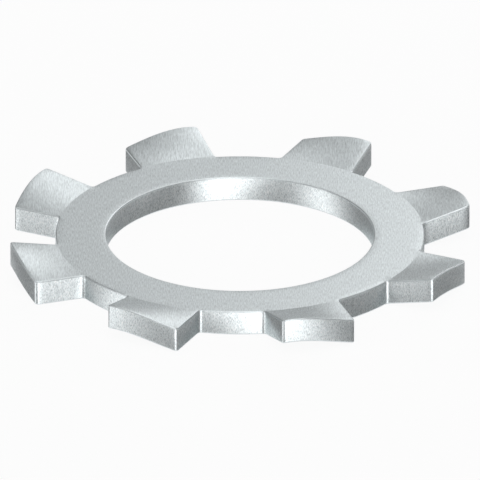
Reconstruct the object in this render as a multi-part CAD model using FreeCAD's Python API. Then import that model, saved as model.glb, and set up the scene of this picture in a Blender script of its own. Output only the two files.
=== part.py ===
# External tooth lock washer for an M8 bolt, in one piece, lying flat on its ring.
# Lengths are in millimetres and +Z is up.
# The origin is on the bore axis, in the plane of the ring's bottom face.
import math
import os

import FreeCAD
import Part
from FreeCAD import Vector

# Ring
BORE_DIAMETER = 8.4
RING_DIAMETER = 11.55
THICKNESS = 0.80

# Teeth, measured across their roots and tips
TOOTH_COUNT = 8
TIP_DIAMETER = 14.66
ROOT_WIDTH = 2.45
TIP_WIDTH = 2.41

# Arch of a tooth's tip above the ring's top face: it starts level with that face
# at one corner, ends at the raised corner, and is pulled up in between by two points.
RAISED_CORNER = 0.356
RAISED_PULL = 0.470
LEVEL_PULL = 0.189

# Round along the sheared edges
EDGE_ROUND = 0.10

# How close a point has to lie to a line or circle to be taken as on it
NEAR = 0.001

CENTRE = Vector(0.0, 0.0, 0.0)
UP = Vector(0.0, 0.0, 1.0)


def half_angle(width, diameter):
    """Half of the angle, in radians, that a chord of this width spans on a circle."""
    return math.asin(width / diameter)


def on_circle(diameter, angle, height):
    """Point on a circle about the bore axis, above the ring's bottom face."""
    radius = diameter / 2.0
    return Vector(radius * math.cos(angle), radius * math.sin(angle), height)


def make_ring():
    """Flat ring with the bore through it, its seam under a corner of a tooth."""
    ring = Part.makeCylinder(RING_DIAMETER / 2.0, THICKNESS)
    ring = ring.cut(Part.makeCylinder(BORE_DIAMETER / 2.0, THICKNESS))
    ring.rotate(CENTRE, UP, math.degrees(half_angle(ROOT_WIDTH, RING_DIAMETER)))
    return ring


def root_edge():
    """Upper edge of a tooth's root, an arc of the ring's outer circle."""
    span = half_angle(ROOT_WIDTH, RING_DIAMETER)
    level = on_circle(RING_DIAMETER, span, THICKNESS)
    middle = on_circle(RING_DIAMETER, 0.0, THICKNESS)
    raised = on_circle(RING_DIAMETER, -span, THICKNESS)
    return Part.Arc(level, middle, raised).toShape()


def tip_edge():
    """Upper edge of a tooth's tip, a cubic that follows the outer circle and arches up."""
    span = half_angle(TIP_WIDTH, TIP_DIAMETER)
    reach = 4.0 / 3.0 * TIP_DIAMETER / 2.0 * math.tan(span / 2.0)
    ahead = Vector(reach * math.sin(span), -reach * math.cos(span), 0.0)
    back = Vector(ahead.x, -ahead.y, 0.0)
    level = on_circle(TIP_DIAMETER, span, THICKNESS)
    raised = on_circle(TIP_DIAMETER, -span, THICKNESS)
    curve = Part.BezierCurve()
    curve.setPoles([
        level,
        level + ahead + UP * LEVEL_PULL,
        raised + back + UP * RAISED_PULL,
        raised + UP * RAISED_CORNER,
    ])
    return curve.toShape()


def make_tooth():
    """Tooth along +X: straight lines from root to tip, twisted, with upright walls."""
    top = Part.makeRuledSurface(root_edge(), tip_edge())
    return top.extrude(UP * -THICKNESS)


def make_blank():
    """Ring and teeth as one solid, with all edges still sharp."""
    pitch = 360.0 / TOOTH_COUNT
    teeth = []
    for index in range(TOOTH_COUNT):
        tooth = make_tooth()
        tooth.rotate(CENTRE, UP, index * pitch)
        teeth.append(tooth)
    return make_ring().multiFuse(teeth).removeSplitter()


def middle_of(edge):
    """Point half way along an edge."""
    return edge.valueAt((edge.FirstParameter + edge.LastParameter) / 2.0)


def is_crease(edge):
    """Whether this is the bend line along a tooth's root."""
    pitch = 2.0 * math.pi / TOOTH_COUNT
    middle = middle_of(edge)
    on_ring = abs(math.hypot(middle.x, middle.y) - RING_DIAMETER / 2.0) < NEAR
    turn = math.atan2(middle.y, middle.x) / pitch
    return on_ring and abs(turn - round(turn)) < NEAR


def is_low_in_bore(edge):
    """Whether this is the bore's seam, or its lower edge where the punch left the sheet."""
    middle = middle_of(edge)
    in_bore = abs(math.hypot(middle.x, middle.y) - BORE_DIAMETER / 2.0) < NEAR
    return in_bore and middle.z < THICKNESS - NEAR


def make_washer():
    """The washer with its edges rounded, apart from the bend lines and the bore's lower edge."""
    blank = make_blank()
    edges = [edge for edge in blank.Edges if not is_crease(edge) and not is_low_in_bore(edge)]
    return blank.makeFillet(EDGE_ROUND, edges).Solids[0]


os.makedirs("parts", exist_ok=True)
make_washer().exportStep("parts/washer.step")
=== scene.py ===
import bpy
import math
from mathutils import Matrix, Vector


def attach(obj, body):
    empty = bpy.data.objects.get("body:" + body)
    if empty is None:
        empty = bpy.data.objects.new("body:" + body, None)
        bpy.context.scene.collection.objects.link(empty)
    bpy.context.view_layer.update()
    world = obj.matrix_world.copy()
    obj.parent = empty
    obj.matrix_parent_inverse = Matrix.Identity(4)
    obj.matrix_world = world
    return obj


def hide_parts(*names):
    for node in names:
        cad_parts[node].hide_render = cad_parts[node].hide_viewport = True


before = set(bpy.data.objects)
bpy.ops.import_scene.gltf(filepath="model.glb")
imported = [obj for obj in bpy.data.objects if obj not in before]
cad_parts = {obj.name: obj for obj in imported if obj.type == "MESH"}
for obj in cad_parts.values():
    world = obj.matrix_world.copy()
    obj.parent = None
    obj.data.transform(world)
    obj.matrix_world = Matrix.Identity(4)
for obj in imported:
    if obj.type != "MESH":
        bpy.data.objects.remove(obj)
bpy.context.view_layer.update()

MM = 0.001

UP = (0.0, 0.0, 1.0)
CENTRE = (0.0, 0.0, 0.0)

# The washer's sizes
BORE_RADIUS = 4.2 * MM
RING_RADIUS = 5.775 * MM
TIP_RADIUS = 7.33 * MM
THICKNESS = 0.80 * MM
ROOT_WIDTH = 2.45 * MM
TIP_WIDTH = 2.41 * MM
TOOTH_COUNT = 8
CORNER_ROUND = 0.10 * MM
EDGE_ROUND = 0.045 * MM

# Arch of a tooth's tip above the ring: how high its raised corner stands, and how far
# the curve is pulled up beside each of its two corners
RAISED_CORNER = 0.356 * MM
LEVEL_PULL = 0.189 * MM
RAISED_PULL = 0.470 * MM

# Angles about the bore axis, in radians
TOOTH_PITCH = 2.0 * math.pi / TOOTH_COUNT
ROOT_HALF_ANGLE = math.asin(ROOT_WIDTH / 2.0 / RING_RADIUS)
TIP_HALF_ANGLE = math.asin(TIP_WIDTH / 2.0 / TIP_RADIUS)

# How finely the washer is divided
ROOT_STEPS = 16
GAP_STEPS = 14
RING_STEPS = 6
TOOTH_STEPS = 6
ROUND_STEPS = 5

# How close a vertex has to lie to a circle or line to be taken as on it, how close two
# have to lie to become one, and how far past a tooth's root one still counts with it
NEAR = 0.0001 * MM
SAME_PLACE = 0.001 * MM
ROOT_SPAN = 1.001 * ROOT_HALF_ANGLE

# A face whose normal points up or down by less than this is a wall
WALL_LIMIT = 0.5

# An edge that turns by more than this is sheared, and gets a round
SHEARED_ANGLE = math.radians(40.0)

# How strongly the large faces lead the shading beside the rounds
LARGE_FACE_WEIGHT = 50

# Slots of the washer's platings
ROLLED, SHEARED, BURNISHED = 0, 1, 2

# Tone and roughness of the zinc plating on the rolled faces, the walls and the rounds
ROLLED_TONE = (0.655, 0.70, 0.712, 1.0)
ROLLED_ROUGHNESS = 0.36
# The walls' tone is the rolled zinc made about a fifth lighter: painted light that brightens the
# walls
SHEARED_TONE_PAINTED_LIGHT = (0.786, 0.84, 0.854, 1.0)
SHEARED_ROUGHNESS = 0.30
BURNISHED_TONE = (0.69, 0.735, 0.748, 1.0)
BURNISHED_ROUGHNESS = 0.34

# Grain of each plating: the direction it lies in, in degrees, its length, width and
# height, the depth of its relief, and how far it changes the tone
ROLLED_GRAIN = (70.0, 0.22 * MM, 0.026 * MM, 0.10 * MM, 0.003 * MM, 0.21)
SHEARED_GRAIN = (0.0, 0.018 * MM, 0.018 * MM, 0.07 * MM, 0.003 * MM, 0.42)
BURNISHED_GRAIN = (0.0, 0.05 * MM, 0.05 * MM, 0.05 * MM, 0.001 * MM, 0.12)

# What all grain shares: finer grain within it, how strong that is, and the heights
# at which its tone is darkest and lightest
GRAIN_DETAIL = 2.0
GRAIN_SHARPNESS = 0.6
GRAIN_LOW = 0.3
GRAIN_HIGH = 0.7

# How far the fine ledges of the sheared walls face up, and the span and middle
# of the colour that carries their direction
LEDGE_SLOPE = math.radians(36.0)
FACING_SPAN = 0.4
FACING_MIDDLE = 0.5

# The floor: its width, how far it lies below the washer, its tone, and how much of it
# is seen as plain white instead of as lit paper
FLOOR_WIDTH = 4.0
FLOOR_GAP = 0.005 * MM
PAPER_TONE = (0.86, 0.86, 0.86, 1.0)
WHITE_SHARE = 0.92

DAYLIGHT_TONE = (1.0, 1.0, 1.0, 1.0)
DAYLIGHT_STRENGTH = 0.25

# Soft boxes round the washer: name, azimuth, elevation, distance, width, height and
# strength. The distance is in millimetres, and the angles are in degrees, with the
# width and the height as the washer sees them.
SOFT_BOXES = (
    ("left_box_rear", 152.0, 26.0, 240.0, 18.0, 30.0, 0.3),
    ("left_box_middle", 170.0, 32.0, 240.0, 18.0, 30.0, 1.29),
    ("left_box_front", 188.0, 36.0, 240.0, 18.0, 30.0, 0.42),
    ("front_box_low", 250.0, 18.0, 240.0, 60.0, 18.0, 1.64),
    ("front_box_right", 270.0, 46.0, 240.0, 26.0, 28.0, 1.6),
    ("window", 4.0, 44.0, 240.0, 34.0, 26.0, 0.5),
    ("rim_box", 33.0, 24.0, 240.0, 16.0, 20.0, 2.4),
    ("rear_box_right", 55.0, 36.0, 62.0, 17.0, 42.0, 1.14),
    ("rear_box_left", 73.5, 32.0, 62.0, 20.0, 34.0, 0.47),
    ("overhead_box", 254.0, 84.0, 240.0, 44.0, 66.0, 1.04),
)

# The photograph's view: a parallel one, along this azimuth and down by this elevation.
# Its middle lies this far right of and above the middle of the ring's top.
VIEW_AZIMUTH = math.radians(-20.0)
VIEW_ELEVATION = math.radians(24.987)
VIEW_WIDTH = 15.027 * MM
VIEW_RIGHT = 0.0025 * MM
VIEW_UP = -0.1944 * MM
VIEW_DISTANCE = 0.1
VIEW_NEAREST = 0.001
VIEW_FARTHEST = 10.0


def deselect_all():
    """Leaves no object selected."""
    bpy.ops.object.select_all(action="DESELECT")


def start_selection(kind):
    """Clears the selection within a piece in edit mode, ready to be set in object mode."""
    bpy.ops.object.mode_set(mode="EDIT")
    bpy.ops.mesh.select_mode(type=kind)
    bpy.ops.mesh.select_all(action="DESELECT")
    bpy.ops.object.mode_set(mode="OBJECT")


def select_vertices(piece, wanted):
    """Selects in edit mode the vertices whose place passes the test."""
    start_selection("VERT")
    for vertex in piece.data.vertices:
        vertex.select = wanted(vertex.co)
    bpy.ops.object.mode_set(mode="EDIT")


def select_edges(piece, wanted):
    """Selects in edit mode the edges whose two ends pass the test."""
    start_selection("EDGE")
    places = [vertex.co for vertex in piece.data.vertices]
    for edge in piece.data.edges:
        edge.select = wanted(places[edge.vertices[0]], places[edge.vertices[1]])
    bpy.ops.object.mode_set(mode="EDIT")


def select_faces(piece, wanted):
    """Selects in edit mode the faces that pass the test."""
    start_selection("FACE")
    for face in piece.data.polygons:
        face.select = wanted(face)
    bpy.ops.object.mode_set(mode="EDIT")


def radius_of(place):
    """Distance of a place from the bore axis."""
    return math.hypot(place.x, place.y)


def turn_of(place):
    """Angle of a place about the bore axis, from +X."""
    return math.atan2(place.y, place.x)


def turn_from_tooth(place):
    """Angle of a place from the middle of the nearest tooth."""
    turn = turn_of(place) / TOOTH_PITCH
    return abs(turn - round(turn)) * TOOTH_PITCH


def tip_rise(share):
    """How far the tip stands above the ring, at 0 on the level corner and 1 on the raised one."""
    rest = 1.0 - share
    pull = 3.0 * rest * rest * share * LEVEL_PULL + 3.0 * rest * share * share * RAISED_PULL
    return pull + share ** 3 * RAISED_CORNER


def cut_ring_sector():
    """Top of the ring under one tooth and one gap, swept from a radial line."""
    gap = TOOTH_PITCH - 2.0 * ROOT_HALF_ANGLE
    reach = RING_RADIUS - BORE_RADIUS
    outward = Vector((math.cos(ROOT_HALF_ANGLE), -math.sin(ROOT_HALF_ANGLE), 0.0))
    deselect_all()
    bpy.ops.mesh.primitive_circle_add(vertices=3, radius=MM)
    sheet = bpy.context.object
    bpy.ops.object.mode_set(mode="EDIT")
    bpy.ops.mesh.select_all(action="SELECT")
    bpy.ops.mesh.merge(type="CENTER")
    bpy.ops.transform.translate(value=outward * BORE_RADIUS + Vector(UP) * THICKNESS)
    bpy.ops.mesh.extrude_region_move(TRANSFORM_OT_translate={"value": outward * reach})
    bpy.ops.mesh.select_all(action="SELECT")
    bpy.ops.mesh.subdivide(number_cuts=RING_STEPS - 1)
    bpy.ops.mesh.spin(
        steps=ROOT_STEPS, angle=-2.0 * ROOT_HALF_ANGLE, center=CENTRE, axis=UP)
    bpy.ops.mesh.spin(steps=GAP_STEPS, angle=-gap, center=CENTRE, axis=UP)
    return sheet


def draw_out_tooth(sheet):
    """Top of the tooth on +X, drawn out from its root and twisted up."""
    length = TIP_RADIUS - RING_RADIUS
    root_bow = RING_RADIUS * (1.0 - math.cos(ROOT_HALF_ANGLE))
    tip_bow = TIP_RADIUS * (1.0 - math.cos(TIP_HALF_ANGLE))

    def on_root(place):
        return abs(radius_of(place) - RING_RADIUS) < NEAR and abs(turn_of(place)) < ROOT_SPAN

    def on_side(one, two):
        return abs(radius_of(one) - radius_of(two)) > length / 2.0

    select_vertices(sheet, on_root)
    bpy.ops.mesh.extrude_region_move()
    bpy.ops.transform.resize(
        value=(tip_bow / root_bow, TIP_WIDTH / ROOT_WIDTH, 1.0),
        center_override=(RING_RADIUS, 0.0, THICKNESS))
    bpy.ops.transform.translate(value=(length, 0.0, 0.0))
    bpy.ops.object.mode_set(mode="OBJECT")
    places = [vertex.co.copy() for vertex in sheet.data.vertices]
    for tip in [place for place in places if radius_of(place) > RING_RADIUS + length / 2.0]:
        select_vertices(sheet, lambda place: (place - tip).length < NEAR)
        share = (TIP_HALF_ANGLE - turn_of(tip)) / (2.0 * TIP_HALF_ANGLE)
        bpy.ops.transform.translate(value=(0.0, 0.0, tip_rise(share)))
    select_edges(sheet, on_side)
    bpy.ops.mesh.subdivide(number_cuts=TOOTH_STEPS - 1)


def stamp_all_round():
    """The sector repeated to a whole washer, and given its thickness."""
    repeats = TOOTH_COUNT - 1
    bpy.ops.mesh.select_all(action="SELECT")
    bpy.ops.mesh.spin(
        steps=repeats, angle=-repeats * TOOTH_PITCH, dupli=True, center=CENTRE, axis=UP)
    bpy.ops.mesh.select_all(action="SELECT")
    bpy.ops.mesh.remove_doubles(threshold=SAME_PLACE)
    bpy.ops.mesh.select_all(action="SELECT")
    bpy.ops.mesh.extrude_region_move(TRANSFORM_OT_translate={"value": (0.0, 0.0, -THICKNESS)})
    bpy.ops.mesh.select_all(action="SELECT")
    bpy.ops.mesh.normals_make_consistent(inside=False)
    bpy.ops.object.mode_set(mode="OBJECT")


def round_corners(washer):
    """Rounds the upright corners at each tooth's root and tip, as the die cuts them."""
    corners = ((RING_RADIUS, ROOT_HALF_ANGLE), (TIP_RADIUS, TIP_HALF_ANGLE))

    def on_corner(place):
        off = turn_from_tooth(place)
        return any(
            abs(radius_of(place) - radius) < NEAR and abs(off - half) * radius < NEAR
            for radius, half in corners)

    select_edges(washer, lambda one, two: (one.xy - two.xy).length < NEAR and on_corner(one))
    bpy.ops.mesh.bevel(offset=CORNER_ROUND, segments=ROUND_STEPS, affect="EDGES")
    bpy.ops.object.mode_set(mode="OBJECT")


def plate_faces(washer, rolled, sheared, burnished):
    """Rolled sheet above and below, sheared metal on every wall."""
    for zinc in (rolled, sheared, burnished):
        washer.data.materials.append(zinc)
    select_faces(washer, lambda face: abs(face.normal.z) < WALL_LIMIT)
    washer.active_material_index = SHEARED
    bpy.ops.object.material_slot_assign()
    bpy.ops.object.mode_set(mode="OBJECT")


def keep_bend_lines(washer):
    """Keeps the bend line along each tooth's root crisp, above and below."""

    def on_bend(place):
        on_ring = abs(radius_of(place) - RING_RADIUS) < NEAR
        return on_ring and turn_from_tooth(place) < ROOT_SPAN

    select_edges(
        washer, lambda one, two: abs(one.z - two.z) < NEAR and on_bend(one) and on_bend(two))
    bpy.ops.mesh.mark_sharp()
    bpy.ops.object.mode_set(mode="OBJECT")


def round_sheared_edges(washer):
    """Takes the sharpness off every edge above and below, and evens the shading beside it."""
    rounds = washer.modifiers.new("rounds", "BEVEL")
    rounds.width = EDGE_ROUND
    rounds.segments = ROUND_STEPS
    rounds.limit_method = "ANGLE"
    rounds.angle_limit = SHEARED_ANGLE
    rounds.use_clamp_overlap = False
    rounds.material = BURNISHED
    bpy.ops.object.modifier_apply(modifier="rounds")
    shading = washer.modifiers.new("shading", "WEIGHTED_NORMAL")
    shading.mode = "FACE_AREA"
    shading.weight = LARGE_FACE_WEIGHT
    shading.keep_sharp = True
    bpy.ops.object.modifier_apply(modifier="shading")


def press_flat(washer):
    """Presses flat what the rounds at the roots leave below the ring's underside."""
    select_vertices(washer, lambda place: place.z < 0.0)
    bpy.ops.transform.resize(value=(1.0, 1.0, 0.0), center_override=CENTRE)
    bpy.ops.object.mode_set(mode="OBJECT")


def make_washer(rolled, sheared, burnished):
    """The whole washer as one piece."""
    washer = cut_ring_sector()
    draw_out_tooth(washer)
    stamp_all_round()
    round_corners(washer)
    plate_faces(washer, rolled, sheared, burnished)
    bpy.ops.object.shade_smooth()
    keep_bend_lines(washer)
    round_sheared_edges(washer)
    press_flat(washer)
    washer.name = "lock_washer"
    return washer


def make_zinc(name, tone, roughness):
    """Bare zinc plating of one tone."""
    zinc = bpy.data.materials.new(name)
    zinc.use_nodes = True
    shader = zinc.node_tree.nodes["Principled BSDF"]
    shader.inputs["Base Color"].default_value = tone
    shader.inputs["Metallic"].default_value = 1.0
    shader.inputs["Roughness"].default_value = roughness
    return zinc


def add_grain(zinc, lie, along, across, tall, depth, tint):
    """Fine grain in a plating, as relief and as a slight change of tone."""
    tree = zinc.node_tree
    shader = tree.nodes["Principled BSDF"]
    place = tree.nodes.new("ShaderNodeTexCoord")
    turned = tree.nodes.new("ShaderNodeMapping")
    turned.inputs["Rotation"].default_value = (0.0, 0.0, -math.radians(lie))
    sized = tree.nodes.new("ShaderNodeMapping")
    sized.inputs["Scale"].default_value = (1.0 / along, 1.0 / across, 1.0 / tall)
    grain = tree.nodes.new("ShaderNodeTexNoise")
    grain.inputs["Scale"].default_value = 1.0
    grain.inputs["Detail"].default_value = GRAIN_DETAIL
    grain.inputs["Roughness"].default_value = GRAIN_SHARPNESS
    relief = tree.nodes.new("ShaderNodeBump")
    relief.inputs["Strength"].default_value = 1.0
    relief.inputs["Distance"].default_value = depth
    tones = tree.nodes.new("ShaderNodeValToRGB")
    red, green, blue, full = shader.inputs["Base Color"].default_value
    ends = ((GRAIN_LOW, 1.0 - tint), (GRAIN_HIGH, 1.0 + tint))
    for end, (height, share) in zip(tones.color_ramp.elements, ends):
        end.position = height
        end.color = (red * share, green * share, blue * share, full)
    tree.links.new(place.outputs["Object"], turned.inputs["Vector"])
    tree.links.new(turned.outputs["Vector"], sized.inputs["Vector"])
    tree.links.new(sized.outputs["Vector"], grain.inputs["Vector"])
    tree.links.new(grain.outputs["Fac"], relief.inputs["Height"])
    tree.links.new(grain.outputs["Fac"], tones.inputs["Fac"])
    tree.links.new(tones.outputs["Color"], shader.inputs["Base Color"])
    tree.links.new(relief.outputs["Normal"], shader.inputs["Normal"])
    return relief


def lift_ledges(zinc, relief):
    """Turns the shading of upright faces up by the slope of the ledges, under their grain."""
    tree = zinc.node_tree
    place = tree.nodes.new("ShaderNodeTexCoord")
    lifted = tree.nodes.new("ShaderNodeVectorMath")
    lifted.operation = "ADD"
    lifted.inputs[1].default_value = (0.0, 0.0, math.tan(LEDGE_SLOPE))
    coded = tree.nodes.new("ShaderNodeVectorMath")
    coded.operation = "MULTIPLY_ADD"
    coded.inputs[1].default_value = (FACING_SPAN, FACING_SPAN, FACING_SPAN)
    coded.inputs[2].default_value = (FACING_MIDDLE, FACING_MIDDLE, FACING_MIDDLE)
    facing = tree.nodes.new("ShaderNodeNormalMap")
    facing.space = "OBJECT"
    tree.links.new(place.outputs["Normal"], lifted.inputs[0])
    tree.links.new(lifted.outputs[0], coded.inputs[0])
    tree.links.new(coded.outputs[0], facing.inputs["Color"])
    tree.links.new(facing.outputs["Normal"], relief.inputs["Normal"])


def make_rolled_zinc():
    """Zinc plating on the rolled faces of the sheet, with the streaks of rolling."""
    zinc = make_zinc("rolled_zinc", ROLLED_TONE, ROLLED_ROUGHNESS)
    add_grain(zinc, *ROLLED_GRAIN)
    return zinc


def make_sheared_zinc():
    """Zinc plating on the sheared walls, whose fine ledges face up. Its tone is the rolled zinc
    made lighter, as painted light on the walls.
    """
    # The lighter tone here is painted light on the walls, not a different plating
    zinc = make_zinc("sheared_zinc_painted_light", SHEARED_TONE_PAINTED_LIGHT, SHEARED_ROUGHNESS)
    lift_ledges(zinc, add_grain(zinc, *SHEARED_GRAIN))
    return zinc


def make_burnished_zinc():
    """Zinc plating on the rounds, rubbed smooth in the barrel."""
    zinc = make_zinc("burnished_zinc", BURNISHED_TONE, BURNISHED_ROUGHNESS)
    add_grain(zinc, *BURNISHED_GRAIN)
    return zinc


def make_floor():
    """A plain pale floor that keeps the washer's shadow."""
    deselect_all()
    bpy.ops.mesh.primitive_plane_add(size=FLOOR_WIDTH, location=(0.0, 0.0, -FLOOR_GAP))
    floor = bpy.context.object
    floor.name = "floor"
    pale = bpy.data.materials.new("pale_floor")
    pale.use_nodes = True
    tree = pale.node_tree
    tree.nodes.clear()
    paper = tree.nodes.new("ShaderNodeBsdfDiffuse")
    paper.inputs["Color"].default_value = PAPER_TONE
    white = tree.nodes.new("ShaderNodeEmission")
    white.inputs["Strength"].default_value = 1.0
    path = tree.nodes.new("ShaderNodeLightPath")
    seen = tree.nodes.new("ShaderNodeMath")
    seen.operation = "MAXIMUM"
    seen_or_through = tree.nodes.new("ShaderNodeMath")
    seen_or_through.operation = "MAXIMUM"
    part = tree.nodes.new("ShaderNodeMath")
    part.operation = "MULTIPLY"
    part.inputs[1].default_value = WHITE_SHARE
    mix = tree.nodes.new("ShaderNodeMixShader")
    out = tree.nodes.new("ShaderNodeOutputMaterial")
    tree.links.new(path.outputs["Is Camera Ray"], seen.inputs[0])
    tree.links.new(path.outputs["Is Glossy Ray"], seen.inputs[1])
    tree.links.new(seen.outputs[0], seen_or_through.inputs[0])
    tree.links.new(path.outputs["Is Transmission Ray"], seen_or_through.inputs[1])
    tree.links.new(seen_or_through.outputs[0], part.inputs[0])
    tree.links.new(part.outputs[0], mix.inputs["Fac"])
    tree.links.new(paper.outputs[0], mix.inputs[1])
    tree.links.new(white.outputs[0], mix.inputs[2])
    tree.links.new(mix.outputs[0], out.inputs["Surface"])
    floor.data.materials.append(pale)


def make_daylight():
    """Soft even light from all round."""
    world = bpy.data.worlds.new("studio")
    bpy.context.scene.world = world
    world.use_nodes = True
    daylight = world.node_tree.nodes["Background"]
    daylight.inputs["Color"].default_value = DAYLIGHT_TONE
    daylight.inputs["Strength"].default_value = DAYLIGHT_STRENGTH


def hang_lamp(name, azimuth, elevation, distance, across, tall, strength):
    """A soft box aimed at the washer, given by its angles in degrees as the washer sees them."""
    lamp = bpy.data.lights.new(name, "AREA")
    lamp.shape = "RECTANGLE"
    lamp.size = 2.0 * distance * math.tan(math.radians(across / 2.0))
    lamp.size_y = 2.0 * distance * math.tan(math.radians(tall / 2.0))
    lamp.energy = strength * math.pi * lamp.size * lamp.size_y
    stand = bpy.data.objects.new(name, lamp)
    turn = math.radians(azimuth)
    rise = math.radians(elevation)
    place = Vector((
        math.cos(turn) * math.cos(rise),
        math.sin(turn) * math.cos(rise),
        math.sin(rise)))
    stand.location = place * distance
    stand.rotation_euler = place.to_track_quat("Z", "Y").to_euler()
    bpy.context.scene.collection.objects.link(stand)


def light_studio():
    """Soft boxes on the left, in front, behind and overhead, and a high window on the right."""
    for name, azimuth, elevation, distance, across, tall, strength in SOFT_BOXES:
        hang_lamp(name, azimuth, elevation, distance * MM, across, tall, strength)


def set_camera():
    """The photograph's parallel view."""
    right = Vector((math.cos(VIEW_AZIMUTH), math.sin(VIEW_AZIMUTH), 0.0))
    back = Vector((
        math.sin(VIEW_AZIMUTH) * math.cos(VIEW_ELEVATION),
        -math.cos(VIEW_AZIMUTH) * math.cos(VIEW_ELEVATION),
        math.sin(VIEW_ELEVATION)))
    above = back.cross(right)
    view = bpy.data.cameras.new("view")
    view.type = "ORTHO"
    view.ortho_scale = VIEW_WIDTH
    view.clip_start = VIEW_NEAREST
    view.clip_end = VIEW_FARTHEST
    stand = bpy.data.objects.new("view", view)
    aim = Vector((0.0, 0.0, THICKNESS)) + right * VIEW_RIGHT + above * VIEW_UP
    stand.location = aim + back * VIEW_DISTANCE
    stand.rotation_euler = back.to_track_quat("Z", "Y").to_euler()
    bpy.context.scene.collection.objects.link(stand)
    bpy.context.scene.camera = stand


washer = make_washer(make_rolled_zinc(), make_sheared_zinc(), make_burnished_zinc())
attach(washer, "root")
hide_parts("washer")

make_floor()
make_daylight()
light_studio()
set_camera()

bpy.context.scene.view_settings.view_transform = "Standard"
